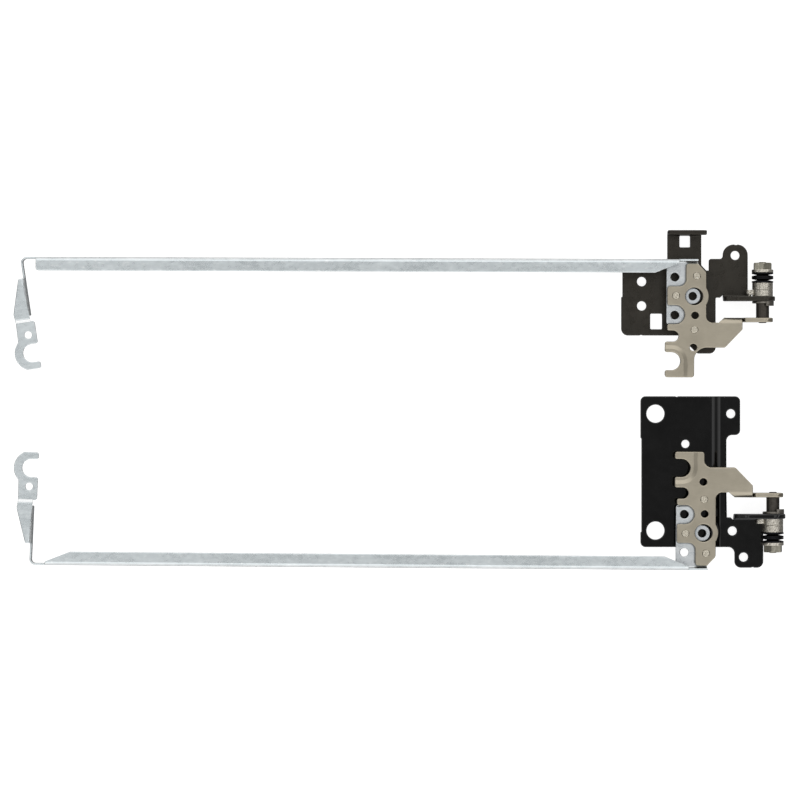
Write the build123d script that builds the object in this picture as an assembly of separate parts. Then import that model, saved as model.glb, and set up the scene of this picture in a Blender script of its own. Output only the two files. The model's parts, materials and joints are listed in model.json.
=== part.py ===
"""A left and a right laptop lid hinge, closed, in millimetres.

Each hinge is drawn with its shaft along Y at X = 0: X runs from the shaft back along the lid,
Y from the arm lug towards the nut, Z up. It is then set in its place beside the other one.
"""
import os
from math import acos, cos, radians, sin, sqrt, tan

from build123d import *

# Sheet and bends
BRACKET_T = 1.5
ARM_T = 1.4
RAIL_T = 0.6
BEND_R = 0.5
RAIL_BEND_R = 0.6

# Heights
AXIS_Z = 5.2
ARM_RISE = 2.0
RAIL_H = 5.0
STEP_H = 0.8
LIP_H = 5.0

# Running and assembly clearances
RUN_GAP = 0.05
FIT = 0.02

# Shaft and the pieces stacked on it
SHAFT_R = 2.1
SHAFT_BARE = 4.6
KEY_R = 1.75
KEY_FLAT = 1.3
SPIGOT_R = 1.25
STAKE_H = 0.3
THREAD_R = 1.5
THREAD_OVER = 0.25
STOP_T = 0.7
STOP_R = 3.3
STOP_EAR_R = 3.6
STOP_EAR_V = 0.8
STOP_EAR_ARC = 75
CAM_R = 3.3
CAM_T = 2.15
TAIL_U = 4.2
TAIL_R = 1.2
TAIL_T = 1.55
PIN_R = 0.6
PIN_IN = 1.2
SPRING_R = 3.45
SPRING_T = 0.5
SPRING_DISH = 0.325
SPRING_COUNT = 4
WASHER_T = 0.9
NUT_AF = 5.5
NUT_T = 2.2

# Lugs round the shaft
ARM_LUG_R = 3.3
ARM_LUG_U = 12.4
BRACKET_LUG_R = 4.0
BRACKET_LUG_U = 12.4

# Lid arm
ARM_REACH = 31.4
ARM_BACK = 30.7
ARM_EDGE = 18.2
ARM_TOP = 18.0
ARM_SLANT = (2.8, 2.9)
ARM_CORNER = (24.7, 10.7)
ARM_RELIEF = 2.2
NECK_U = 22.0
NECK_V = -18.4
EXT_U = 6.65
EXT_V = -8.9
EXT_SLANT = (5.6, 5.8)
PORT = (22.1, 7.5)
PORT_R = 2.8
BULGE_R = 4.7
HOOK_NOTCH = (29.3, -13.2, 2.85)
SMALL_NOTCH = (28.8, -5.2, 1.75)
SCREW_NOTCH = (28.1, 1.65, 3.05)
LAND_R = 3.9
LAND_RUN = 1.2
LAND_DROP = 0.45
GUIDE_R = 1.15
GUIDES = ((21.8, 1.4), (22.3, -8.8))
BOSS_R = 1.05
BOSS_H = 0.1
BOSSES = ((21.3, 14.0), (27.9, 7.7), (22.0, -3.2))

# Screen rail
LID_SCREW_R = 1.4
LID_SCREWS = ((28.2, 13.7), (22.5, 7.6), (28.2, 1.55))
PLATE_U = 30.9
PLATE_WAIST = 23.6
PLATE_RUN = 2.2
LOBE_R = 2.4
RAIL_V = 19.3
STRIP_W = 4.4
RAIL_NEAR = 20.8
STRIP_NEAR = 26.9
STRIP_TAPER = 7.8
STRIP_FAR = 232.1
CORNER_U = 236.8
CORNER_R = 1.2
HOOK_LEG = 18.6
HOOK_TIP = 12.0
HOOK_WIDE = 5.0
HOOK_NECK = 0.8
HOOK_RAMP = 1.0
HOOK_JOG = 1.2
HOOK_EDGE = -1.35
HOOK_HOLE = (1.35, 4.3)
HOOK_HOLE_R = 1.15
HOOK_EYE = (0.93, 10.2)
HOOK_EYE_R = 2.85
HOOK_LIP = 2.25
HOOK_OUT_R = 5.6

# Base brackets, with Y counted from the outer face of the lug
BASE_SCREW_R = 1.45
LEFT_EDGE = 4.4
LEFT_BACK = 45.0
LEFT_LOW = -10.95
LEFT_HIGH = 10.65
LEFT_WINDOW = 14.7
LEFT_CHIN = -16.75
LEFT_CHIN_W = 5.9
LEFT_BACK_STEP = (0.4, 1.45)
LEFT_EAR_U = 12.4
LEFT_EAR_V = 18.25
LEFT_EAR_R = 3.4
LEFT_EAR_HOLE = (8.45, 14.75)
LEFT_PAIR = (38.45, -1.45)
LEFT_PAIR_PITCH = 7.8
LEFT_PAIR_R = 1.5
SHOULDER_U = 16.9
SHOULDER_V = 13.65
TAB_NEAR = 19.3
TAB_W = 10.9
TAB_END = 22.75
TAB_HOLE = (24.6, 19.2)
TAB_HOLE_SIZE = (3.4, 3.7)
LIP_OVER = 1.6
CLIP_HOLE = (33.8, -6.45)
CLIP_HOLE_SIZE = (3.8, 5.0)
RIGHT_EDGE = 2.8
RIGHT_BACK = 42.1
RIGHT_LOW = -37.65
RIGHT_HIGH = 10.75
RIGHT_WINDOW = 14.6
RIGHT_BACK_IN = 0.3
RIGHT_BACK_LOW = -24.3
RIGHT_BACK_HIGH = 6.1
RIGHT_EAR_U = 10.2
RIGHT_EAR_V = -25.2
RIGHT_FOOT_U = 12.0
RIGHT_FOOT_V = 17.35
RIGHT_SCREWS = ((13.2, -32.05), (12.7, 5.55), (9.1, 13.95))
RIGHT_BOSS = (37.3, -32.05)
RIGHT_BOSS_PITCH = 37.5
RIGHT_BOSS_R = 2.9
RIGHT_PIN = (27.7, -22.35)
RIGHT_PIN_R = 1.3
STEP_NEAR = 17.2
STEP_RUN = 2.0
STEP_R = 3.5
NICK_R = 0.9
NICK_DEPTH = 0.16
LEFT_NICKS = ((8.2, LEFT_EAR_V, 1), (38.6, LEFT_LOW, -1))
RIGHT_NICKS = ((6.2, RIGHT_FOOT_V, 1), (30.5, RIGHT_LOW, -1))

# What differs between the two hinges, and where each one lies
LEFT_SHIFT = (0.0, 0.0)
RIGHT_SHIFT = (0.3, 4.55)
LEFT_TOE = 0.2
RIGHT_TOE = -0.45
LEFT_LEAN = 8.6
RIGHT_LEAN = 2.0
LEFT_TAPER = 0.0
RIGHT_TAPER = 8.0
LEFT_NECK_R = 3.9
RIGHT_NECK_R = 2.2
LEFT_NUT_TURN = 30
RIGHT_NUT_TURN = 18
LEFT_TAIL_GAP = 0.5
RIGHT_TAIL_GAP = 0.05
LEFT_X = 116.0
LEFT_Y = 25.6
RIGHT_X = 119.3
RIGHT_Y = -30.4

# Levels and stack positions that follow from the sizes above
ARM_Z = AXIS_Z + ARM_RISE
PLATE_Z = ARM_Z - RAIL_T
STRIP_Z = PLATE_Z + RAIL_H - RAIL_T
LUG_V = ARM_T / 2 + SHAFT_BARE + STOP_T + RUN_GAP
CAM_V = LUG_V + BRACKET_T
MOVING_V = CAM_V + CAM_T + RUN_GAP
SPRING_V = MOVING_V + CAM_T
SPRING_PITCH = SPRING_T + SPRING_DISH
WASHER_V = SPRING_V + SPRING_COUNT * SPRING_PITCH
NUT_V = WASHER_V + WASHER_T
BORE_R = KEY_R + RUN_GAP


def rounded(corners):
    """Closed face through corners given as x, y and the radius that rounds each."""
    points = [Vector(x, y) for x, y, _ in corners]
    turns = []
    for i, (_, _, radius) in enumerate(corners):
        to_last = (points[i - 1] - points[i]).normalized()
        to_next = (points[(i + 1) % len(points)] - points[i]).normalized()
        half = acos(max(-1.0, min(1.0, to_last.dot(to_next)))) / 2
        reach = radius / tan(half)
        middle = points[i]
        if radius:
            middle = points[i] + (to_last + to_next).normalized() * (radius / sin(half) - radius)
        turns.append((points[i] + to_last * reach, middle, points[i] + to_next * reach, radius))
    edges = []
    for i, (start, middle, end, radius) in enumerate(turns):
        last_end = turns[i - 1][2]
        if (start - last_end).length > 1e-6:
            edges.append(Line(last_end, start))
        if radius:
            edges.append(ThreePointArc(start, middle, end))
    return make_face(edges)


def flat(face, z, thickness):
    """Plate from a face drawn in plan."""
    return extrude(Pos(0, 0, z) * face, amount=thickness, dir=(0, 0, 1))


def upright(face, v0, v1):
    """Solid from a face drawn in X and Z, running from v0 to v1 along Y."""
    plane = Plane((0, v0, 0), x_dir=(1, 0, 0), z_dir=(0, -1, 0))
    return extrude(plane * face, amount=v1 - v0, dir=(0, 1, 0))


def endwise(face, u0, u1):
    """Solid from a face drawn in Y and Z, running from u0 to u1 along X."""
    plane = Plane((u0, 0, 0), x_dir=(0, 1, 0), z_dir=(1, 0, 0))
    return extrude(plane * face, amount=u1 - u0, dir=(1, 0, 0))


def quarter_bend(v, z, radius, thickness, side_v, side_z):
    """Section of a right-angle bend about v, z, on the side that the two signs name."""
    outer = radius + thickness
    corner = Pos(side_v * outer / 2, side_z * outer / 2) * Rectangle(outer, outer)
    return Pos(v, z) * ((Circle(outer) - Circle(radius)) & corner)


def disc(u, v, radius):
    return Pos(u, v) * Circle(radius)


def open_slot(u, v, radius, length):
    """Round-bottomed notch that runs out along X by the signed length."""
    return disc(u, v, radius) + Pos(u + length / 2, v) * Rectangle(abs(length), 2 * radius)


def key_face(grow):
    """Shaft section with two flats, enlarged all round by grow."""
    return Circle(KEY_R + grow) & Rectangle(3 * KEY_R, 2 * (KEY_FLAT + grow))


def on_axis(face, v0, v1):
    return upright(Pos(0, AXIS_Z) * face, v0, v1)


def pattern_place(shift, toe):
    """Place of the arm and rail pattern: slid along the shaft and turned about a screw."""
    u, v = LID_SCREWS[1]
    return Pos(u + shift[0], v + shift[1], 0) * Rot(0, 0, toe) * Pos(-u, -v, 0)


def land_cut():
    """Solid as deep as the land, with sides that slope up and outwards round the hook notch."""
    u, v, _ = HOOK_NOTCH

    def land(reach):
        return rounded([
            (u - reach, 2 * NECK_V, 0),
            (u - reach, v + reach, reach),
            (2 * ARM_REACH, v + reach, 0),
            (2 * ARM_REACH, 2 * NECK_V, 0),
        ])

    return loft([land(LAND_R), Pos(0, 0, LAND_DROP) * land(LAND_R + LAND_RUN)], ruled=True)


def lid_arm(place, neck_r):
    def at(u, v):
        spot = (place * Pos(u, v, 0)).position
        return spot.X, spot.Y

    bend_v = -ARM_T / 2 - BEND_R
    bend_z = ARM_Z - BEND_R
    relief_u = ARM_LUG_U + ARM_RELIEF
    corner_u, corner_v = ARM_CORNER
    step_v = SMALL_NOTCH[1]
    outline = rounded([
        (*at(corner_u, ARM_TOP), 1.0),
        (*at(ARM_EDGE + ARM_SLANT[0], ARM_TOP), 0.8),
        (*at(ARM_EDGE, ARM_TOP - ARM_SLANT[1]), 1.5),
        (at(ARM_EDGE, 0)[0], bend_v + 0.3, 2.0),
        (relief_u, bend_v + 0.3, 0),
        (relief_u - 0.4, bend_v, 0),
        (EXT_U, bend_v, 0),
        (EXT_U, EXT_V + EXT_SLANT[1], 0.5),
        (EXT_U + EXT_SLANT[0], EXT_V, 1.0),
        (at(NECK_U, NECK_V)[0], EXT_V, neck_r),
        (*at(NECK_U, NECK_V), 0.9),
        (*at(ARM_REACH, NECK_V), 0.9),
        (*at(ARM_REACH, step_v), 0),
        (*at(ARM_BACK, step_v), 0),
        (*at(ARM_BACK, corner_v), 0.8),
        (*at(corner_u, corner_v), 2.2),
    ])
    outline += place * disc(*PORT, BULGE_R)
    for u, v, radius in (HOOK_NOTCH, SMALL_NOTCH, SCREW_NOTCH):
        outline -= place * open_slot(u, v, radius, 9)
    tips = [p for p in outline.vertices() if p.X > at(ARM_BACK, p.Y)[0] - 0.3]
    outline = fillet(tips, 0.7)
    outline -= place * disc(*PORT, PORT_R)
    for u, v in GUIDES:
        outline -= place * disc(u, v, GUIDE_R)
    for u, v in BOSSES:
        outline -= place * disc(u, v, BOSS_R + FIT)

    ramp = Pos(0, 0, -LAND_DROP) * place * land_cut()
    plate = flat(outline, ARM_Z, ARM_T) - Pos(0, 0, ARM_Z + ARM_T) * ramp
    plate += flat(outline, ARM_Z - LAND_DROP, LAND_DROP) & Pos(0, 0, ARM_Z) * ramp

    lug_face = rounded([
        (ARM_LUG_U, bend_z, 0),
        (ARM_LUG_U, AXIS_Z, 1.5),
        (ARM_LUG_U - ARM_LUG_R, AXIS_Z - ARM_LUG_R, 3.0),
        (0, AXIS_Z - ARM_LUG_R, 0),
        (0, AXIS_Z + ARM_LUG_R, 0),
        (EXT_U - 0.9, AXIS_Z + ARM_LUG_R, 0.4),
        (EXT_U, bend_z, 0),
    ])
    lug_face += disc(0, AXIS_Z, ARM_LUG_R)
    lug_face -= disc(0, AXIS_Z, SPIGOT_R + FIT)
    bend = endwise(quarter_bend(bend_v, bend_z, BEND_R, ARM_T, 1, 1), EXT_U, relief_u)
    slope = make_face(Polyline(
        (relief_u, bend_v),
        (ARM_LUG_U, ARM_T / 2),
        (ARM_LUG_U, 3),
        (relief_u + 3, 3),
        (relief_u + 3, bend_v),
        close=True,
    ))
    bend -= flat(slope, 0, 2 * ARM_Z)
    return plate + bend + upright(lug_face, -ARM_T / 2, ARM_T / 2)


def rail_plate():
    """Screw plate under the arm, with the bosses that hold the arm."""
    low_v = SCREW_NOTCH[1] - SCREW_NOTCH[2] + 0.05
    bend_v = RAIL_V - RAIL_T - RAIL_BEND_R
    screw_u, screw_v = LID_SCREWS[1]
    top_u, top_v = BOSSES[0]
    foot_u, foot_v = BOSSES[2]
    face = rounded([
        (PLATE_U, bend_v, 0),
        (PLATE_U, low_v, 0.8),
        (PLATE_WAIST + PLATE_RUN, low_v, 1.2),
        (PLATE_WAIST + PLATE_RUN / 2, foot_v - LOBE_R + 0.4, 1.2),
        (foot_u - LOBE_R + 0.4, foot_v - LOBE_R + 0.4, 1.2),
        (foot_u - LOBE_R + 0.4, foot_v + LOBE_R, 1.2),
        (PLATE_WAIST, foot_v + LOBE_R, 1.0),
        (PLATE_WAIST, screw_v - LOBE_R, 1.2),
        (screw_u - LOBE_R, screw_v - LOBE_R, LOBE_R - 0.1),
        (screw_u - LOBE_R, screw_v + LOBE_R, LOBE_R - 0.1),
        (PLATE_WAIST, screw_v + LOBE_R, 0.7),
        (PLATE_WAIST, top_v - LOBE_R, 0.7),
        (top_u - LOBE_R + 0.6, top_v - LOBE_R, 1.2),
        (top_u - LOBE_R + 0.6, top_v + LOBE_R, 0.8),
        (RAIL_NEAR, bend_v, 0),
    ])
    for u, v in LID_SCREWS:
        face -= disc(u, v, LID_SCREW_R)
    plate = flat(face, PLATE_Z, RAIL_T)
    for u, v in BOSSES:
        plate += flat(disc(u, v, BOSS_R), PLATE_Z, RAIL_T + ARM_T + BOSS_H)
    return plate


def hook(lean):
    """Top plate, jog and C-shaped end of the hook, on the leg that leaves the rail's corner."""
    s = sin(radians(lean))
    c = cos(radians(lean))
    corner = Vector(CORNER_U, RAIL_V - RAIL_T / 2, 0)
    along = Vector(-s, -c, 0)
    across = Vector(c, -s, 0)
    plan = Plane(corner, x_dir=across, z_dir=(0, 0, -1))
    bend_x = RAIL_T / 2 + RAIL_BEND_R
    ramp_w = HOOK_LEG + HOOK_NECK
    end_w = ramp_w + HOOK_RAMP
    neck_x = HOOK_WIDE - 0.25
    top = rounded([
        (bend_x, HOOK_LEG - HOOK_TIP, 0),
        (bend_x + 0.9, HOOK_LEG - HOOK_TIP, 0.6),
        (HOOK_WIDE, HOOK_LEG - 0.9, 2.0),
        (neck_x, ramp_w, 0),
        (0, ramp_w, 0),
        (0, HOOK_LEG, 0),
    ])
    low = STRIP_Z - HOOK_JOG
    slope = make_face(Polyline(
        (ramp_w - 0.1, STRIP_Z),
        (ramp_w - 0.1, STRIP_Z + RAIL_T),
        (ramp_w + 0.2, STRIP_Z + RAIL_T),
        (end_w + 0.2, low + RAIL_T),
        (end_w + 0.2, low),
        (end_w - 0.1, low),
        close=True,
    ))
    eye_u, eye_w = HOOK_EYE
    end = rounded([
        (neck_x, 0, 0.2),
        (HOOK_EDGE, 0, 0.8),
        (HOOK_EDGE, eye_w, 0),
        (HOOK_WIDE, eye_w, 0),
    ])
    out_w = eye_w + HOOK_EYE_R + HOOK_LIP
    clip = Pos(HOOK_EDGE + HOOK_OUT_R, out_w - HOOK_OUT_R) * Rectangle(2 * HOOK_OUT_R, 2 * HOOK_OUT_R)
    end += disc(eye_u, eye_w, HOOK_OUT_R) & clip
    end -= open_slot(eye_u, eye_w, HOOK_EYE_R, -2 * HOOK_OUT_R)
    lips = [p for p in end.vertices() if abs(p.X - HOOK_EDGE) < 0.01 and p.Y > 1]
    end = fillet(lips, 0.7)
    end -= disc(*HOOK_HOLE, HOOK_HOLE_R)
    end = Pos(0, end_w) * end

    section = quarter_bend(bend_x, STRIP_Z - RAIL_BEND_R, RAIL_BEND_R, RAIL_T, -1, 1)
    bend_plane = Plane(corner + along * (HOOK_LEG - HOOK_TIP), x_dir=across, z_dir=along)
    bend = extrude(bend_plane * section, amount=HOOK_TIP, dir=along)
    ramp_plane = Plane(corner, x_dir=along, z_dir=-across)
    ramp = extrude(ramp_plane * slope, amount=neck_x, dir=across)
    return flat(plan * top, STRIP_Z, RAIL_T) + bend + ramp + flat(plan * end, low, RAIL_T)


def screen_rail(lean, taper):
    half = RAIL_T / 2
    mid = RAIL_V - half
    s = sin(radians(lean))
    c = cos(radians(lean))
    slip = half * (1 + s) / c
    outer = (CORNER_U + half * c + slip * s, RAIL_V)
    inner = (CORNER_U - half * c - slip * s, RAIL_V - RAIL_T)
    end = (CORNER_U - HOOK_LEG * s, mid - HOOK_LEG * c)

    def leg_plan(start):
        return rounded([
            (start, RAIL_V - RAIL_T, 0),
            (start, RAIL_V, 0),
            (*outer, CORNER_R + RAIL_T),
            (end[0] + half * c, end[1] - half * s, 0),
            (end[0] - half * c, end[1] + half * s, 0),
            (*inner, CORNER_R),
        ])

    bend_v = RAIL_V - RAIL_T - RAIL_BEND_R
    low_z = PLATE_Z + RAIL_T + RAIL_BEND_R
    top_z = STRIP_Z - RAIL_BEND_R
    strip = rounded([
        (STRIP_NEAR, bend_v, 0),
        (STRIP_NEAR + STRIP_TAPER, RAIL_V - STRIP_W, 1.0),
        (STRIP_FAR - taper, RAIL_V - STRIP_W, 1.0),
        (STRIP_FAR, bend_v, 0),
    ])
    rail = flat(leg_plan(RAIL_NEAR), low_z, top_z - low_z)
    rail += flat(leg_plan(PLATE_U + 0.5), PLATE_Z, low_z - PLATE_Z)
    rail += flat(strip, STRIP_Z, RAIL_T)
    rail += endwise(quarter_bend(bend_v, top_z, RAIL_BEND_R, RAIL_T, 1, 1), STRIP_NEAR, STRIP_FAR)
    rail += endwise(quarter_bend(bend_v, low_z, RAIL_BEND_R, RAIL_T, 1, -1), RAIL_NEAR, PLATE_U)
    return rail + rail_plate() + hook(lean)


def bracket_lug(edge, base_z):
    """Upright lug of a bracket, with the bend that joins it to the plate."""
    bend_z = base_z + BRACKET_T + BEND_R
    face = rounded([
        (BRACKET_LUG_U, bend_z, 0),
        (BRACKET_LUG_U, AXIS_Z + 1.5, 2.0),
        (BRACKET_LUG_U - BRACKET_LUG_R, AXIS_Z + BRACKET_LUG_R, 2.5),
        (0, AXIS_Z + BRACKET_LUG_R, 0),
        (0, AXIS_Z, 0),
        (edge, bend_z, 0),
    ])
    face += disc(0, AXIS_Z, BRACKET_LUG_R)
    face -= disc(0, AXIS_Z, BORE_R)
    face -= disc(TAIL_U, AXIS_Z, PIN_R + FIT)
    section = quarter_bend(BRACKET_T + BEND_R, bend_z, BEND_R, BRACKET_T, -1, -1)
    return upright(face, 0, BRACKET_T) + endwise(section, edge, BRACKET_LUG_U)


def nicks(places):
    """Shallow marks where the blank was cut from its strip, each on the edge that the sign faces."""
    reach = NICK_R - NICK_DEPTH
    return Sketch() + [disc(u, v + side * reach, NICK_R) for u, v, side in places]


def left_bracket():
    bend_v = BRACKET_T + BEND_R
    relief_v = bend_v - 0.8
    lip_v = TAB_END - BRACKET_T - BEND_R
    tab_far = TAB_NEAR + TAB_W
    chin_u = LEFT_WINDOW + LEFT_CHIN_W
    back_in, back_v = LEFT_BACK_STEP
    plate = rounded([
        (LEFT_BACK, LEFT_LOW, 2.2),
        (LEFT_BACK, back_v, 0),
        (LEFT_BACK - back_in, back_v, 0),
        (LEFT_BACK - back_in, LEFT_HIGH, 1.5),
        (tab_far, LEFT_HIGH, 0.8),
        (tab_far, lip_v, 0),
        (TAB_NEAR, lip_v, 0),
        (TAB_NEAR, LEFT_HIGH + 0.95, 0.8),
        (SHOULDER_U + 0.8, LEFT_HIGH - 0.75, 0.5),
        (SHOULDER_U, LEFT_HIGH - 0.75, 0),
        (SHOULDER_U, SHOULDER_V, 0.8),
        (LEFT_EAR_U, SHOULDER_V, 1.0),
        (LEFT_EAR_U, LEFT_EAR_V, LEFT_EAR_R),
        (LEFT_EDGE, LEFT_EAR_V, LEFT_EAR_R),
        (LEFT_EDGE, bend_v, 0),
        (BRACKET_LUG_U, bend_v, 0),
        (BRACKET_LUG_U + 0.9, relief_v, 0),
        (LEFT_WINDOW, relief_v, 0.4),
        (LEFT_WINDOW, LEFT_CHIN, 2.0),
        (chin_u, LEFT_CHIN, 1.5),
        (chin_u + LEFT_LOW - LEFT_CHIN, LEFT_LOW, 1.0),
    ])
    plate -= nicks(LEFT_NICKS)
    plate -= disc(*LEFT_EAR_HOLE, BASE_SCREW_R)
    pair_u, pair_v = LEFT_PAIR
    for v in (pair_v, pair_v + LEFT_PAIR_PITCH):
        plate -= disc(pair_u, v, LEFT_PAIR_R)
    plate -= Pos(*CLIP_HOLE) * RectangleRounded(*CLIP_HOLE_SIZE, 0.4)
    lip_z = BRACKET_T + BEND_R
    lip = rounded([
        (tab_far, lip_z, 0),
        (tab_far, LIP_H, 0.9),
        (TAB_NEAR - LIP_OVER, LIP_H, 0.9),
        (TAB_NEAR - LIP_OVER, lip_z + 0.4, 0.5),
        (TAB_NEAR, lip_z, 0),
    ])
    body = flat(plate, 0, BRACKET_T)
    body += upright(lip, TAB_END - BRACKET_T, TAB_END)
    body += endwise(quarter_bend(lip_v, lip_z, BEND_R, BRACKET_T, 1, -1), TAB_NEAR, tab_far)
    body -= flat(Pos(*TAB_HOLE) * RectangleRounded(*TAB_HOLE_SIZE, 0.4), 0, lip_z)
    return Pos(0, LUG_V, 0) * (body + bracket_lug(LEFT_EDGE, 0))


def right_bracket():
    bend_v = BRACKET_T + BEND_R
    relief_v = bend_v - 0.8
    plate = rounded([
        (RIGHT_BACK, RIGHT_LOW, 1.6),
        (RIGHT_EAR_U, RIGHT_LOW, 1.6),
        (RIGHT_EAR_U, RIGHT_EAR_V, 1.6),
        (RIGHT_WINDOW, RIGHT_EAR_V, 1.8),
        (RIGHT_WINDOW, relief_v, 0.4),
        (BRACKET_LUG_U + 0.9, relief_v, 0),
        (BRACKET_LUG_U, bend_v, 0),
        (RIGHT_EDGE, bend_v, 0),
        (RIGHT_EDGE, RIGHT_FOOT_V, 2.0),
        (RIGHT_FOOT_U, RIGHT_FOOT_V, 2.0),
        (RIGHT_FOOT_U, RIGHT_HIGH, 2.0),
        (RIGHT_BACK, RIGHT_HIGH, 1.6),
        (RIGHT_BACK, RIGHT_BACK_HIGH, 0),
        (RIGHT_BACK - RIGHT_BACK_IN, RIGHT_BACK_HIGH - RIGHT_BACK_IN, 0),
        (RIGHT_BACK - RIGHT_BACK_IN, RIGHT_BACK_LOW + RIGHT_BACK_IN, 0),
        (RIGHT_BACK, RIGHT_BACK_LOW, 0),
    ])
    plate -= nicks(RIGHT_NICKS)
    for u, v in RIGHT_SCREWS:
        plate -= disc(u, v, BASE_SCREW_R)
    boss_u, boss_v = RIGHT_BOSS
    for v in (boss_v, boss_v + RIGHT_BOSS_PITCH):
        plate -= disc(boss_u, v, RIGHT_BOSS_R)
    plate -= disc(*RIGHT_PIN, RIGHT_PIN_R)
    step_far = STEP_NEAR + STEP_RUN
    lean = STEP_H / STEP_RUN * BRACKET_T / 2
    section = rounded([
        (RIGHT_BACK, 0, 0),
        (step_far, 0, STEP_R),
        (STEP_NEAR, STEP_H, STEP_R),
        (0, STEP_H, 0),
        (0, STEP_H + BRACKET_T, 0),
        (STEP_NEAR - lean, STEP_H + BRACKET_T, STEP_R),
        (step_far - lean, BRACKET_T, STEP_R),
        (RIGHT_BACK, BRACKET_T, 0),
    ])
    body = flat(plate, 0, STEP_H + BRACKET_T) & upright(section, RIGHT_LOW, RIGHT_FOOT_V)
    return Pos(0, LUG_V, 0) * (body + bracket_lug(RIGHT_EDGE, STEP_H))


def hinge_shaft():
    half = ARM_T / 2
    spigot = on_axis(Circle(SPIGOT_R), -half - STAKE_H, half)
    spigot = chamfer(spigot.edges().sort_by(Axis.Y)[0], STAKE_H / 2)
    collar = on_axis(Circle(SHAFT_R), half, half + SHAFT_BARE)
    keyed = on_axis(key_face(0), half + SHAFT_BARE, NUT_V)
    thread = on_axis(Circle(THREAD_R), NUT_V, NUT_V + NUT_T + THREAD_OVER)
    thread = chamfer(thread.edges().sort_by(Axis.Y)[-1], 2 * THREAD_OVER)
    return spigot + collar + keyed + thread


def stop_washer():
    """Keyed disc with an ear beside the shaft that ends the lid's travel."""
    start = ARM_T / 2 + SHAFT_BARE
    sector = make_face(Polyline(
        (0, 0),
        (-2 * STOP_EAR_R, 0),
        (-2 * STOP_EAR_R * cos(radians(STOP_EAR_ARC)), 2 * STOP_EAR_R * sin(radians(STOP_EAR_ARC))),
        close=True,
    ))
    ear = (Circle(STOP_EAR_R) - Circle(SHAFT_R + FIT)) & sector
    disc_face = Circle(STOP_R) - key_face(FIT)
    return on_axis(disc_face, start, start + STOP_T) + on_axis(ear, start - STOP_EAR_V, start + STOP_T)


def fixed_cam(tail_gap):
    """Ring that stays with the bracket: its tail carries a pin that sits in the lug."""
    end = CAM_V + CAM_T
    tail_v = CAM_V + tail_gap
    tail = Pos(TAIL_U / 2, 0) * Rectangle(TAIL_U, 2 * TAIL_R) + disc(TAIL_U, 0, TAIL_R)
    cam = on_axis(Circle(CAM_R), CAM_V, end) + on_axis(tail, tail_v, tail_v + TAIL_T)
    cam -= on_axis(Circle(BORE_R), CAM_V, end)
    return cam + on_axis(disc(TAIL_U, 0, PIN_R), CAM_V - PIN_IN, tail_v)


def moving_cam():
    return on_axis(Circle(CAM_R) - key_face(FIT), MOVING_V, MOVING_V + CAM_T)


def spring_washer(index):
    """Dished disc; every second one is turned over, so that rims and bores meet in turn."""
    rise = SPRING_DISH if index % 2 else -SPRING_DISH
    foot = SPRING_V + index * SPRING_PITCH + max(0, -rise)
    section = make_face(Polyline(
        (BORE_R, foot),
        (SPRING_R, foot + rise),
        (SPRING_R, foot + rise + SPRING_T),
        (BORE_R, foot + SPRING_T),
        close=True,
    ))
    return Pos(0, 0, AXIS_Z) * revolve(section, axis=Axis.Y)


def end_washer():
    return on_axis(Circle(SPRING_R) - key_face(FIT), WASHER_V, WASHER_V + WASHER_T)


def lock_nut(turn):
    corner_r = NUT_AF / sqrt(3)
    blank = on_axis(Circle(corner_r), NUT_V, NUT_V + NUT_T)
    blank = chamfer(blank.edges().sort_by(Axis.Y)[-1], 0.4)
    hexagon = Rot(0, 0, turn) * RegularPolygon(corner_r, 6) - Circle(THREAD_R + FIT)
    return blank & on_axis(hexagon, NUT_V, NUT_V + NUT_T)


def hinge(bracket, shift, toe, lean, taper, neck_r, nut_turn, tail_gap):
    place = pattern_place(shift, toe)
    pieces = {
        "base_bracket": bracket(),
        "lid_arm": lid_arm(place, neck_r),
        "screen_rail": place * screen_rail(lean, taper),
        "hinge_shaft": hinge_shaft(),
        "stop_washer": stop_washer(),
        "fixed_cam": fixed_cam(tail_gap),
        "moving_cam": moving_cam(),
        "end_washer": end_washer(),
        "lock_nut": lock_nut(nut_turn),
    }
    for index in range(SPRING_COUNT):
        pieces[f"spring_washer_{index + 1}"] = spring_washer(index)
    return pieces


def main():
    left = hinge(
        left_bracket, LEFT_SHIFT, LEFT_TOE, LEFT_LEAN, LEFT_TAPER, LEFT_NECK_R, LEFT_NUT_TURN, LEFT_TAIL_GAP)
    right = hinge(
        right_bracket, RIGHT_SHIFT, RIGHT_TOE, RIGHT_LEAN, RIGHT_TAPER, RIGHT_NECK_R, RIGHT_NUT_TURN,
        RIGHT_TAIL_GAP)
    pieces = {}
    for name, shape in left.items():
        pieces["left_" + name] = Pos(LEFT_X, LEFT_Y, 0) * mirror(shape, about=Plane.YZ)
    for name, shape in right.items():
        pieces["right_" + name] = Pos(RIGHT_X, RIGHT_Y, 0) * Rot(0, 0, 180) * shape
    boxes = [shape.bounding_box() for shape in pieces.values()]
    near = [min(getattr(box.min, axis) for box in boxes) for axis in "XYZ"]
    far = [max(getattr(box.max, axis) for box in boxes) for axis in "XYZ"]
    centre = Pos(-(near[0] + far[0]) / 2, -(near[1] + far[1]) / 2, -near[2])
    os.makedirs("parts", exist_ok=True)
    for name, shape in pieces.items():
        export_step(centre * shape, f"parts/{name}.step")


main()
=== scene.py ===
"""Looks of the laptop hinge pair: materials, edge detail, floor, light and camera round the CAD frame."""
import json
import math
import random

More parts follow.
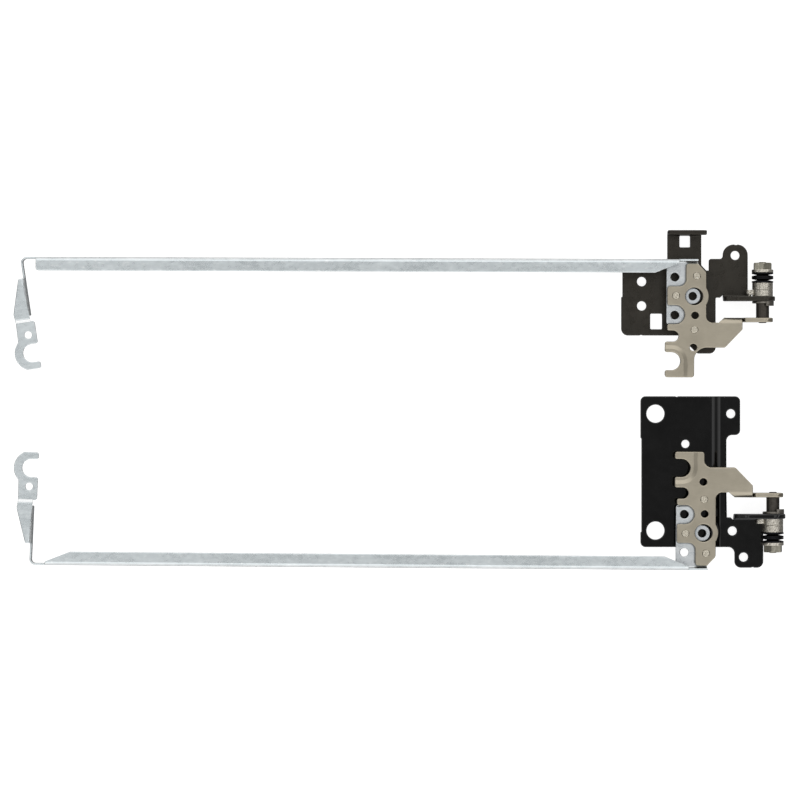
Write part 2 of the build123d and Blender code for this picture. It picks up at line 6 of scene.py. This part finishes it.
import bmesh
import bpy
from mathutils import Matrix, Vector


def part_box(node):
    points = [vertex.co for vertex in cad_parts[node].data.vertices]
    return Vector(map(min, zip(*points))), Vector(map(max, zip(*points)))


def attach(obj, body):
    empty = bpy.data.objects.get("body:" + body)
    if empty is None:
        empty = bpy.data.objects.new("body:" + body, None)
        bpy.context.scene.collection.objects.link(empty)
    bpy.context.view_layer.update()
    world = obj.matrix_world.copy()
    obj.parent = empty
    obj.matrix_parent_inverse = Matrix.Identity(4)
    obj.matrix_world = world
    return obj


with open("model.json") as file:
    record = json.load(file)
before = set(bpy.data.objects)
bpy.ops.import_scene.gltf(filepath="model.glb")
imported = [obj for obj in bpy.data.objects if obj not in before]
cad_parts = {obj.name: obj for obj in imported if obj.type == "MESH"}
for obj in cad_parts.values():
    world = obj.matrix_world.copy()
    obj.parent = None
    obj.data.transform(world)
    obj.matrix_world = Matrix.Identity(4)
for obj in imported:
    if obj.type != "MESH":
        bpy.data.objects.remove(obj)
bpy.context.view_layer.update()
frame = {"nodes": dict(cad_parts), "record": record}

MM = 0.001
SIDES = ("left", "right")
SPRINGS = [f"spring_washer_{number}" for number in range(1, 5)]
MOUNTS = {mount["name"]: mount for mount in frame["record"]["mounts"]}

# Photograph: straight from above, with the width of the frame taken half way up the hinges
CAMERA_DISTANCE = 1300 * MM
CAMERA_LEVEL = 5 * MM
FIELD_WIDTH = 256 * MM
SENSOR = 36
VIEW_CENTRE = (-0.1 * MM, -0.07 * MM)

# Outer edges that stamping, turning and grinding leave round
EDGE_ANGLE = math.radians(46)
FLAT_ANGLE = math.radians(0.4)
EDGE_STEPS = 3
FINE_WELD = 0.002 * MM
SHEET_WELD = 0.06 * MM
SHEETS = ("base_bracket", "lid_arm", "screen_rail")
EDGE_R = {
    "base_bracket": 0.3 * MM,
    "lid_arm": 0.32 * MM,
    "screen_rail": 0.26 * MM,
    "hinge_shaft": 0.06 * MM,
    "stop_washer": 0.1 * MM,
    "fixed_cam": 0.12 * MM,
    "moving_cam": 0.12 * MM,
    "end_washer": 0.12 * MM,
    "lock_nut": 0.06 * MM,
}
SPRING_EDGE_R = 0.1 * MM

# Tight bends and run-outs whose edges stay sharp, by place in mm and reach, and the lobe at the middle screw
TIGHT_BEND = 1.5 * MM
HOOK_RUN_OUT = 2.6 * MM
MIDDLE_LOBE = 3.0 * MM
SHARP_SPOTS = {
    "left_lid_arm": [((101.6, 24.5, 7.9), TIGHT_BEND)],
    "right_lid_arm": [((104.9, -29.4, 7.9), TIGHT_BEND)],
    "right_base_bracket": [((116.4, -37.6, 2.5), TIGHT_BEND)],
    "left_screen_rail": [((-118.1, 26.5, 11.3), TIGHT_BEND), ((-119.8, 34.25, 11.3), HOOK_RUN_OUT)],
    "right_screen_rail": [((-117.25, -33.4, 11.3), TIGHT_BEND), ((-118.07, -41.25, 11.3), HOOK_RUN_OUT)],
}

# Clinch bosses and their staked heads. A dent's place and width are shares of the head's radius
BOSS_OVER = 0.1 * MM
BOSS_LEVEL_GAP = BOSS_OVER / 10
HEAD_R = 1.14 * MM
HEAD_H = 0.17 * MM
HEAD_RINGS = 9
HEAD_STEPS = 36
HEAD_APART = 3 * HEAD_R
CROWN_POWER = 6
RIM_POWER = 4
DENTS = 3
DENT_DEPTH = 0.09 * MM
DENT_SHARES = (0.6, 1.0)
DENT_SWAY = 0.25
DENT_PLACE = 0.52
DENT_WIDTH = 0.28
DENT_SEED = 7

# Threads in the lid screw holes, which fade in and out over a sixth of their run
THREAD_PITCH = 0.4 * MM
THREAD_DEPTH = 0.1 * MM
THREAD_HALF = 0.42 * THREAD_PITCH
THREAD_SINK = 0.02 * MM
THREAD_STEPS = 40
THREAD_FADE = 6

# Finishes: each pair is a darker and a lighter shade, or a lower and a higher roughness
BLACK = (0.0, 0.0, 0.0)
COATINGS = {
    "left": {
        "shades": ((0.006, 0.005, 0.004), (0.011, 0.009, 0.007)),
        "speck": (0.04, 0.038, 0.035),
        "shine": 0.44,
        "tint": (1.0, 0.94, 0.82, 1),
        "rough": (0.24, 0.36),
    },
    "right": {
        "shades": ((0.001, 0.001, 0.001), (0.003, 0.003, 0.003)),
        "speck": (0.014, 0.014, 0.014),
        "shine": 0.45,
        "tint": (1, 1, 1, 1),
        "rough": (0.07, 0.12),
    },
}
STEELS = {
    "dark_steel": {
        "shades": ((0.044, 0.039, 0.034), (0.088, 0.08, 0.07)),
        "rough": (0.34, 0.48),
        "pitch": 0.12 * MM,
        "height": 0.003 * MM,
    },
    "blackened": {
        "shades": ((0.007, 0.007, 0.008), (0.018, 0.018, 0.02)),
        "rough": (0.26, 0.38),
        "pitch": 0.1 * MM,
        "height": 0.004 * MM,
    },
    "ground_steel": {
        "shades": ((0.44, 0.41, 0.35), (0.66, 0.63, 0.56)),
        "rough": (0.22, 0.36),
        "pitch": 0.1 * MM,
        "height": 0.008 * MM,
    },
    "dull_steel": {
        "shades": ((0.12, 0.11, 0.095), (0.24, 0.225, 0.2)),
        "rough": (0.32, 0.46),
        "pitch": 0.1 * MM,
        "height": 0.01 * MM,
    },
}
NICKEL = ((0.366, 0.331, 0.262), (0.412, 0.373, 0.297))
ZINC = ((0.585, 0.632, 0.65), (0.69, 0.738, 0.752))
ZINC_PRESSED = ((0.57, 0.6, 0.617), (0.66, 0.687, 0.7))
# Painted shade of the zinc where it tilts at its bends and rounded edges
ZINC_TILT_SHADE = ((0.46, 0.485, 0.495), (0.62, 0.64, 0.645))
# Painted highlight of the zinc: matt white on faces about as steep as the hook's ramp
ZINC_RAMP_HIGHLIGHT = ((0.93, 0.94, 0.94), (0.98, 0.985, 0.985))
ZINC_TORN = ((0.3, 0.272, 0.217), (0.61, 0.568, 0.474))
ZINC_FLECK = (0.14, 0.12, 0.11)
SINTER_PORES = (0.1, 0.093, 0.08)
SINTER_GRAIN = (0.46, 0.43, 0.37)
SINTER_SPECKS = (0.72, 0.69, 0.62)
NUT_PLATING = ((0.225, 0.213, 0.174), (0.36, 0.343, 0.284))
FLOOR_SHADES = ((0.345, 0.345, 0.34), (0.36, 0.36, 0.355))

# Bands of the zinc sheet by how level it lies, for its painted shade on tilted bends and rounded edges and
# its painted highlight on faces as steep as the hook's ramp, and its screw plate by height as a share of
# LIFT_TOP
TILT_SHADE_BAND = (0.2, 0.45, 0.86, 0.97)
RAMP_HIGHLIGHT_BAND = (0.6, 0.62, 0.66, 0.68)
LIFT_TOP = 12 * MM
PLATE_LEVELS = [(0.62, 1.0), (0.68, 0.0)]

# Painted shade in the corners and between parts, by how open they are
CORNER_SHADE_REACH = 0.9 * MM
CORNER_SHADE_SAMPLES = 8
CORNER_SHADE = [(0.5, 0.3), (0.85, 1.0)]
FAINT_CORNER_SHADE = [(0.3, 0.5), (0.75, 1.0)]

# Floor and light
FLOOR_SIZE = 4.0
FLOOR_DROP = 0.05 * MM
FLOOR_GLOW = 0.86
TOP_LEVELS = [(0.0, 0.24), (0.45, 0.22), (0.8, 0.29), (0.93, 1.3), (0.982, 1.3), (0.993, 0.24)]
SIDE_LEVELS = [(0.38, 0.0), (0.55, 1.05), (0.9, 1.05)]
FLOOR_LEVELS = [(0.0, 0.3), (0.25, 0.4), (0.42, 1.0)]
STRIP_LIGHT = (1.2, 0.1)
STRIP_LIGHT_PLACE = (0.9, 0.0, 0.7)
STRIP_LIGHT_POWER = 1.2


def ramp_along(tree, level, stops):
    """Colours or grey levels along a pattern."""
    node = tree.nodes.new("ShaderNodeValToRGB")
    elements = node.color_ramp.elements
    while len(elements) < len(stops):
        elements.new(1.0)
    for element, (at, colour) in zip(elements, stops):
        grey = isinstance(colour, float)
        element.position = at
        element.color = (colour, colour, colour, 1) if grey else (*colour, 1)
    tree.links.new(level, node.inputs["Fac"])
    return node.outputs["Color"]


def blend_colours(tree, first, second, share, mode):
    """Two colours put together, by a fixed share or by one that a pattern gives."""
    node = tree.nodes.new("ShaderNodeMix")
    node.data_type = "RGBA"
    node.blend_type = mode
    if isinstance(share, float):
        node.inputs["Factor"].default_value = share
    else:
        tree.links.new(share, node.inputs["Factor"])
    tree.links.new(first, node.inputs["A"])
    tree.links.new(second, node.inputs["B"])
    return node.outputs["Result"]


class Shader:
    """One node material, with patterns in the object's own metres."""

    def __init__(self, name):
        self.material = bpy.data.materials.new(name)
        self.material.use_nodes = True
        self.tree = self.material.node_tree
        self.surface = self.tree.nodes["Principled BSDF"]
        self.place = self.tree.nodes.new("ShaderNodeTexCoord")

    def link(self, output, socket):
        self.tree.links.new(output, socket)

    def constant(self, **values):
        for name, value in values.items():
            self.surface.inputs[name.replace("_", " ")].default_value = value

    def stretched(self, stretch):
        mapping = self.tree.nodes.new("ShaderNodeMapping")
        mapping.inputs["Scale"].default_value = stretch
        self.link(self.place.outputs["Object"], mapping.inputs["Vector"])
        return mapping.outputs["Vector"]

    def noise(self, size, detail=3.0, stretch=(1, 1, 1)):
        """Cloudy pattern whose blotches are about size across."""
        node = self.tree.nodes.new("ShaderNodeTexNoise")
        node.inputs["Scale"].default_value = 1 / size
        node.inputs["Detail"].default_value = detail
        self.link(self.stretched(stretch), node.inputs["Vector"])
        return node.outputs["Fac"]

    def upward(self, vector):
        split = self.tree.nodes.new("ShaderNodeSeparateXYZ")
        self.link(vector, split.inputs["Vector"])
        return split.outputs["Z"]

    def levelness(self):
        """1 where the surface lies level in the object's own frame, and 0 where it stands upright."""
        return self.upward(self.place.outputs["Normal"])

    def lift(self, top):
        """Height in the object's own frame, as a share of top."""
        return self.upward(self.stretched((1, 1, 1 / top)))

    def openness(self, reach):
        """Low where another surface stands closer than reach."""
        node = self.tree.nodes.new("ShaderNodeAmbientOcclusion")
        node.samples = CORNER_SHADE_SAMPLES
        node.inputs["Distance"].default_value = reach
        return node.outputs["AO"]

    def ramp(self, level, stops):
        return ramp_along(self.tree, level, stops)

    def shades(self, level, pair, between=(0.35, 0.65)):
        """From one shade to another, between two values of a pattern."""
        return self.ramp(level, list(zip(between, pair)))

    def band(self, level, edges, outside, inside):
        """One grey level inside a band of a pattern's values, and another outside it."""
        return self.ramp(level, list(zip(edges, (outside, inside, inside, outside))))

    def blend(self, first, second, share, mode="MIX"):
        return blend_colours(self.tree, first, second, share, mode)

    def average(self, first, second, share):
        node = self.tree.nodes.new("ShaderNodeMix")
        node.inputs["Factor"].default_value = share
        self.link(first, node.inputs["A"])
        self.link(second, node.inputs["B"])
        return node.outputs["Result"]

    def corner_shaded(self, colour, levels):
        """A colour with painted shade in the corners and between parts, darker where another surface stands
        close.
        """
        return self.blend(colour, self.ramp(self.openness(CORNER_SHADE_REACH), levels), 1.0, "MULTIPLY")

    def colour(self, output):
        self.link(output, self.surface.inputs["Base Color"])

    def roughness(self, level, pair):
        self.link(self.shades(level, pair, (0.3, 0.7)), self.surface.inputs["Roughness"])

    def bump(self, level, height):
        node = self.tree.nodes.new("ShaderNodeBump")
        node.inputs["Strength"].default_value = 1.0
        node.inputs["Distance"].default_value = height
        self.link(level, node.inputs["Height"])
        self.link(node.outputs["Normal"], self.surface.inputs["Normal"])


def coated_black(name, shades, speck, shine, tint, rough):
    """Satin black coating with a fine peel, faint clouding and a few dust specks."""
    s = Shader(name)
    s.constant(Metallic=0.0, Specular_IOR_Level=shine, Specular_Tint=tint)
    cloud = s.shades(s.noise(9 * MM, 4), shades, (0.35, 0.7))
    dust = s.shades(s.noise(0.5 * MM, 2), (BLACK, speck), (0.74, 0.8))
    s.colour(s.blend(cloud, dust, 1.0, "ADD"))
    s.roughness(s.noise(2.2 * MM), rough)
    s.bump(s.noise(0.22 * MM, 2), 0.0008 * MM)
    return s.material


def nickel_plate(name):
    """Satin nickel over rolled sheet: warm grey with a fine grain along the rolling direction."""
    s = Shader(name)
    s.constant(Metallic=1.0)
    grain = s.noise(0.25 * MM, 3, (0.18, 1, 1))
    cloud = s.noise(6 * MM, 3)
    level = s.average(cloud, grain, 0.3)
    # Faint painted shade in the corners and between parts
    s.colour(s.corner_shaded(s.shades(level, NICKEL), FAINT_CORNER_SHADE))
    s.roughness(level, (0.29, 0.33))
    s.bump(grain, 0.0004 * MM)
    return s.material


def galvanised(name):
    """Zinc-coated sheet: pale bluish grey, mottled and flecked.

    It has painted shade where it tilts at its bends and rounded edges, is pressed brighter on the screw
    plate, and has a painted highlight, matt white and not metal, wherever it tilts about as steeply as the
    hook's ramp.
    """
    s = Shader(name)
    patches = s.average(s.noise(1.3 * MM, 5, (0.6, 1, 1)), s.noise(6 * MM, 3, (0.5, 1, 1)), 0.45)
    spread = (0.36, 0.64)
    wide_spread = (0.3, 0.7)
    flat = s.shades(patches, ZINC, spread)
    pressed = s.shades(patches, ZINC_PRESSED, spread)
    tilt_shaded = s.shades(patches, ZINC_TILT_SHADE, spread)
    white = s.shades(patches, ZINC_RAMP_HIGHLIGHT, wide_spread)
    flecks = s.shades(s.noise(0.8 * MM, 3, (0.6, 1, 1)), (BLACK, ZINC_FLECK), (0.6, 0.78))
    # Painted shade where the sheet tilts at its bends and rounded edges
    tilt_shade = s.band(s.levelness(), TILT_SHADE_BAND, 0.0, 1.0)
    # Painted highlight: matt white wherever the sheet tilts about as steeply as the hook's ramp
    ramp_highlight = s.band(s.levelness(), RAMP_HIGHLIGHT_BAND, 0.0, 1.0)
    sheet = s.blend(flat, pressed, s.ramp(s.lift(LIFT_TOP), PLATE_LEVELS))
    sheet = s.blend(s.blend(sheet, flecks, 1.0, "ADD"), tilt_shaded, tilt_shade)
    # Painted shade in the corners and between parts
    s.colour(s.corner_shaded(s.blend(sheet, white, ramp_highlight), CORNER_SHADE))
    gloss = s.shades(patches, (0.25, 0.31), wide_spread)
    matt = s.shades(patches, (0.45, 0.55), wide_spread)
    s.link(s.blend(gloss, matt, ramp_highlight), s.surface.inputs["Roughness"])
    # The painted highlight is not metal
    s.link(s.band(s.levelness(), RAMP_HIGHLIGHT_BAND, 1.0, 0.0), s.surface.inputs["Metallic"])
    s.bump(s.noise(0.45 * MM, 3), 0.0015 * MM)
    return s.material


def turned_steel(name, shades, rough, pitch, height):
    """Turned or ground steel, with fine rings round the shaft's own direction."""
    s = Shader(name)
    s.constant(Metallic=1.0)
    rings = s.noise(pitch, 2, (0.05, 1, 0.05))
    cloud = s.noise(1.2 * MM, 3)
    level = s.average(cloud, rings, 0.5)
    s.colour(s.shades(level, shades, (0.3, 0.7)))
    s.roughness(level, rough)
    s.bump(rings, height)
    return s.material


def sintered(name):
    """Pressed and sintered steel, oiled: open grain with dark pores and bright specks."""
    s = Shader(name)
    s.constant(Metallic=1.0)
    grain = s.noise(0.3 * MM, 4)
    s.colour(s.ramp(grain, [(0.34, SINTER_PORES), (0.46, SINTER_GRAIN), (0.66, SINTER_SPECKS)]))
    s.roughness(s.noise(0.6 * MM), (0.24, 0.4))
    s.bump(grain, 0.07 * MM)
    return s.material


def plated_nut(name):
    """Plated nut with draw marks along its flats."""
    s = Shader(name)
    s.constant(Metallic=1.0)
    marks = s.noise(0.22 * MM, 3, (1, 0.08, 1))
    s.colour(s.shades(marks, NUT_PLATING))
    s.roughness(s.noise(1.0 * MM), (0.26, 0.4))
    s.bump(marks, 0.012 * MM)
    return s.material


def staked_head(name):
    """Zinc torn bright by the staking punch."""
    s = Shader(name)
    s.constant(Metallic=1.0)
    torn = s.noise(0.35 * MM, 4)
    s.colour(s.shades(torn, ZINC_TORN, (0.35, 0.62)))
    s.roughness(torn, (0.2, 0.34))
    s.bump(torn, 0.06 * MM)
    return s.material


def floor_white(name):
    """White paper that glows a little, so that it stays white under the dim room."""
    s = Shader(name)
    s.constant(Metallic=0.0, Roughness=0.7, Emission_Strength=FLOOR_GLOW, Emission_Color=(1, 1, 1, 1))
    s.colour(s.shades(s.noise(60 * MM, 2), FLOOR_SHADES, (0.3, 0.7)))
    return s.material


def sharp_spots(node):
    """Places in metres round which a CAD node's edges stay sharp, each with its reach."""
    spots = [(Vector(place) * MM, reach) for place, reach in SHARP_SPOTS.get(node, [])]
    side, name = node.split("_", 1)
    if name == "screen_rail":
        spots.append((Vector(MOUNTS[f"{side}_lid_middle"]["pos_m"]), MIDDLE_LOBE))
    return spots


def outer_edges(name, spots):
    """Node group that marks the sharp outer edges of a mesh for rounding, but for those near the spots."""
    tree = bpy.data.node_groups.new(name, "GeometryNodeTree")
    for way in ("INPUT", "OUTPUT"):
        tree.interface.new_socket("Geometry", in_out=way, socket_type="NodeSocketGeometry")
    fold = tree.nodes.new("GeometryNodeInputMeshEdgeAngle")
    place = tree.nodes.new("GeometryNodeInputPosition")

    def above(value, limit):
        node = tree.nodes.new("FunctionNodeCompare")
        node.operation = "GREATER_THAN"
        node.inputs["B"].default_value = limit
        tree.links.new(value, node.inputs["A"])
        return node.outputs["Result"]

    chosen = above(fold.outputs["Signed Angle"], EDGE_ANGLE)
    for spot, reach in spots:
        away = tree.nodes.new("ShaderNodeVectorMath")
        away.operation = "DISTANCE"
        away.inputs[1].default_value = spot
        tree.links.new(place.outputs["Position"], away.inputs[0])
        both = tree.nodes.new("FunctionNodeBooleanMath")
        tree.links.new(chosen, both.inputs[0])
        tree.links.new(above(away.outputs["Value"], reach), both.inputs[1])
        chosen = both.outputs["Boolean"]
    store = tree.nodes.new("GeometryNodeStoreNamedAttribute")
    store.data_type = "FLOAT"
    store.domain = "EDGE"
    store.inputs["Name"].default_value = "bevel_weight_edge"
    tree.links.new(tree.nodes.new("NodeGroupInput").outputs["Geometry"], store.inputs["Geometry"])
    tree.links.new(chosen, store.inputs["Value"])
    tree.links.new(store.outputs["Geometry"], tree.nodes.new("NodeGroupOutput").inputs["Geometry"])
    return tree


def dress(node, material, edge_r, weld_gap):
    """Gives a CAD node its material and rounds its sharp outer edges."""
    piece = frame["nodes"][node]
    for place in piece.material_slots:
        place.material = material
    weld = piece.modifiers.new("weld", "WELD")
    weld.merge_threshold = weld_gap
    flat = piece.modifiers.new("flat", "DECIMATE")
    flat.decimate_type = "DISSOLVE"
    flat.angle_limit = FLAT_ANGLE
    marks = piece.modifiers.new("marks", "NODES")
    marks.node_group = outer_edges(f"{node}_edges", sharp_spots(node))
    edge = piece.modifiers.new("edge", "BEVEL")
    edge.width = edge_r
    edge.segments = EDGE_STEPS
    edge.limit_method = "WEIGHT"
    edge.use_clamp_overlap = False
    edge.harden_normals = True
    normals = piece.modifiers.new("normals", "WEIGHTED_NORMAL")
    normals.keep_sharp = True


def add_piece(name, mesh, material, body):
    """Puts a finished bmesh into the scene as a piece that rides a body."""
    data = bpy.data.meshes.new(name)
    mesh.to_mesh(data)
    mesh.free()
    for face in data.polygons:
        face.use_smooth = True
    data.materials.append(material)
    piece = bpy.data.objects.new(name, data)
    bpy.context.scene.collection.objects.link(piece)
    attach(piece, body)


def boss_tops(side):
    """Middles of the clinch bosses, found as the rail's round faces just above the arm."""
    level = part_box(f"{side}_lid_arm")[1].z + BOSS_OVER
    rims = [v.co for v in frame["nodes"][f"{side}_screen_rail"].data.vertices
            if abs(v.co.z - level) < BOSS_LEVEL_GAP]
    groups = []
    for point in rims:
        near = [group for group in groups if (group[0] - point).length < HEAD_APART]
        if near:
            near[0].append(point)
        else:
            groups.append([point])
    middles = []
    for group in groups:
        low = Vector(min(p[i] for p in group) for i in range(3))
        high = Vector(max(p[i] for p in group) for i in range(3))
        middles.append((low + high) / 2)
    return sorted(middles, key=lambda p: tuple(p))


def staked(middle, chance):
    """Low mushroomed head with the uneven dents of a staking punch."""
    mesh = bmesh.new()
    turn = chance.uniform(0, math.tau)
    foot = middle.z - BOSS_OVER
    dents = []
    for number in range(DENTS):
        angle = turn + number * math.tau / DENTS + chance.uniform(-DENT_SWAY, DENT_SWAY)
        spot = DENT_PLACE * HEAD_R * Vector((math.cos(angle), math.sin(angle)))
        dents.append((spot, chance.uniform(*DENT_SHARES)))

    def height(share, angle):
        across = share * HEAD_R * Vector((math.cos(angle), math.sin(angle)))
        crown = HEAD_H * math.sqrt(max(0.0, 1 - share ** CROWN_POWER))
        dent = 0.0
        for spot, depth in dents:
            dent += depth * math.exp(-((across - spot).length / (DENT_WIDTH * HEAD_R)) ** 2)
        return crown - DENT_DEPTH * min(1.0, dent) * (1 - share ** RIM_POWER)

    top = mesh.verts.new(middle + Vector((0, 0, height(0, 0) - BOSS_OVER)))
    rings = []
    for ring in range(1, HEAD_RINGS + 1):
        share = math.sin(ring / HEAD_RINGS * math.pi / 2)
        loop = []
        for step in range(HEAD_STEPS):
            angle = step * math.tau / HEAD_STEPS
            radius = share * HEAD_R
            loop.append(mesh.verts.new((
                middle.x + radius * math.cos(angle),
                middle.y + radius * math.sin(angle),
                foot + height(share, angle),
            )))
        rings.append(loop)
    bottom = mesh.verts.new((middle.x, middle.y, foot))
    for step in range(HEAD_STEPS):
        after = (step + 1) % HEAD_STEPS
        mesh.faces.new((top, rings[0][step], rings[0][after]))
        for inner, outer in zip(rings, rings[1:]):
            mesh.faces.new((inner[step], outer[step], outer[after], inner[after]))
        mesh.faces.new((rings[-1][after], rings[-1][step], bottom))
    return mesh


def screw_holes(side):
    """Middles of the three lid screw holes of a rail, with their radius and depth."""
    pair = MOUNTS[f"{side}_lid_pair"]
    middle = MOUNTS[f"{side}_lid_middle"]
    half = pair["dims"]["spacing_y_mm"] / 2 * MM
    centre = Vector(pair["pos_m"])
    radius = pair["dims"]["hole_r_mm"] * MM
    depth = middle["dims"]["length_mm"] * MM
    places = [centre + Vector((0, half, 0)), Vector(middle["pos_m"]), centre - Vector((0, half, 0))]
    return places, radius, depth


def thread(middle, radius, depth):
    """Ridge of a tapped hole: a helix of triangular section on the wall."""
    mesh = bmesh.new()
    travel = depth - 2 * THREAD_HALF
    turns = travel / THREAD_PITCH
    steps = int(THREAD_STEPS * turns)
    rows = []
    for step in range(steps + 1):
        share = step / steps
        angle = share * turns * math.tau
        z = middle.z - travel / 2 + share * travel
        fade = min(1.0, THREAD_FADE * share, THREAD_FADE * (1 - share))
        section = (
            (radius + THREAD_SINK, z - THREAD_HALF),
            (radius - THREAD_DEPTH * fade, z),
            (radius + THREAD_SINK, z + THREAD_HALF),
        )
        rows.append([
            mesh.verts.new((middle.x + r * math.cos(angle), middle.y + r * math.sin(angle), level))
            for r, level in section
        ])
    for here, there in zip(rows, rows[1:]):
        for i in range(3):
            j = (i + 1) % 3
            mesh.faces.new((here[i], here[j], there[j], there[i]))
    mesh.faces.new(rows[0])
    mesh.faces.new(reversed(rows[-1]))
    bmesh.ops.recalc_face_normals(mesh, faces=mesh.faces)
    return mesh


def dress_hinges():
    """Gives every CAD node its finish, and returns the finish of each kind of piece."""
    steel = {name: turned_steel(name, **look) for name, look in STEELS.items()}
    cam = sintered("sintered_steel")
    finish = {
        "lid_arm": nickel_plate("nickel"),
        "screen_rail": galvanised("zinc"),
        "hinge_shaft": steel["dark_steel"],
        "stop_washer": steel["dull_steel"],
        "fixed_cam": cam,
        "moving_cam": cam,
        "end_washer": steel["ground_steel"],
        "lock_nut": plated_nut("plated_steel"),
    }
    for side in SIDES:
        coating = coated_black(f"{side}_coating", **COATINGS[side])
        for name, material in {**finish, "base_bracket": coating}.items():
            weld_gap = SHEET_WELD if name in SHEETS else FINE_WELD
            dress(f"{side}_{name}", material, EDGE_R[name], weld_gap)
        for name in SPRINGS:
            dress(f"{side}_{name}", steel["blackened"], SPRING_EDGE_R, FINE_WELD)
    return finish


def add_details(finish):
    """Staked heads and threads of both rails."""
    chance = random.Random(DENT_SEED)
    torn = staked_head("torn_zinc")
    for side in SIDES:
        body = f"{side}_lid"
        for number, middle in enumerate(boss_tops(side), 1):
            add_piece(f"{side}_staked_head_{number}", staked(middle, chance), torn, body)
        places, radius, depth = screw_holes(side)
        for number, place in enumerate(places, 1):
            mesh = thread(place, radius, depth)
            add_piece(f"{side}_thread_{number}", mesh, finish["screen_rail"], body)


def make_floor():
    mesh = bmesh.new()
    bmesh.ops.create_grid(mesh, x_segments=1, y_segments=1, size=FLOOR_SIZE / 2)
    data = bpy.data.meshes.new("floor")
    mesh.to_mesh(data)
    mesh.free()
    data.materials.append(floor_white("floor_white"))
    floor = bpy.data.objects.new("floor", data)
    floor.location.z = -FLOOR_DROP
    floor.visible_glossy = False
    bpy.context.scene.collection.objects.link(floor)


def make_world():
    """Dim room, with a bright ring overhead round the camera and white walls in front and behind."""
    world = bpy.data.worlds.new("studio")
    world.use_nodes = True
    tree = world.node_tree
    place = tree.nodes.new("ShaderNodeTexCoord")
    split = tree.nodes.new("ShaderNodeSeparateXYZ")
    tree.links.new(place.outputs["Generated"], split.inputs["Vector"])
    across = tree.nodes.new("ShaderNodeMath")
    across.operation = "ABSOLUTE"
    tree.links.new(split.outputs["Y"], across.inputs[0])
    # From 0 straight down to 1 straight up
    rise = tree.nodes.new("ShaderNodeMath")
    rise.operation = "MULTIPLY_ADD"
    rise.inputs[1].default_value = 0.5
    rise.inputs[2].default_value = 0.5
    tree.links.new(split.outputs["Z"], rise.inputs[0])
    sides = ramp_along(tree, across.outputs["Value"], SIDE_LEVELS)
    walls = blend_colours(tree, sides, ramp_along(tree, rise.outputs["Value"], FLOOR_LEVELS), 1.0, "MULTIPLY")
    top = ramp_along(tree, split.outputs["Z"], TOP_LEVELS)
    total = blend_colours(tree, top, walls, 1.0, "ADD")
    tree.links.new(total, tree.nodes["Background"].inputs["Color"])
    bpy.context.scene.world = world


def add_light(name, place, size, power):
    light = bpy.data.lights.new(name, "AREA")
    light.shape = "RECTANGLE"
    light.size, light.size_y = size
    light.energy = power
    lamp = bpy.data.objects.new(name, light)
    lamp.location = place
    lamp.rotation_mode = "QUATERNION"
    lamp.rotation_quaternion = (-Vector(place)).to_track_quat("-Z", "Y")
    bpy.context.scene.collection.objects.link(lamp)


def make_lights():
    x, y, z = STRIP_LIGHT_PLACE
    for name, way in (("right", 1), ("left", -1)):
        add_light(f"{name}_strip", (way * x, y, z), STRIP_LIGHT, STRIP_LIGHT_POWER)


def make_camera():
    data = bpy.data.cameras.new("camera")
    data.sensor_width = SENSOR
    data.lens = SENSOR * CAMERA_DISTANCE / FIELD_WIDTH
    camera = bpy.data.objects.new("camera", data)
    camera.location = (*VIEW_CENTRE, CAMERA_LEVEL + CAMERA_DISTANCE)
    bpy.context.scene.collection.objects.link(camera)
    bpy.context.scene.camera = camera
    bpy.context.scene.view_settings.view_transform = "Standard"


add_details(dress_hinges())
make_floor()
make_world()
make_lights()
make_camera()
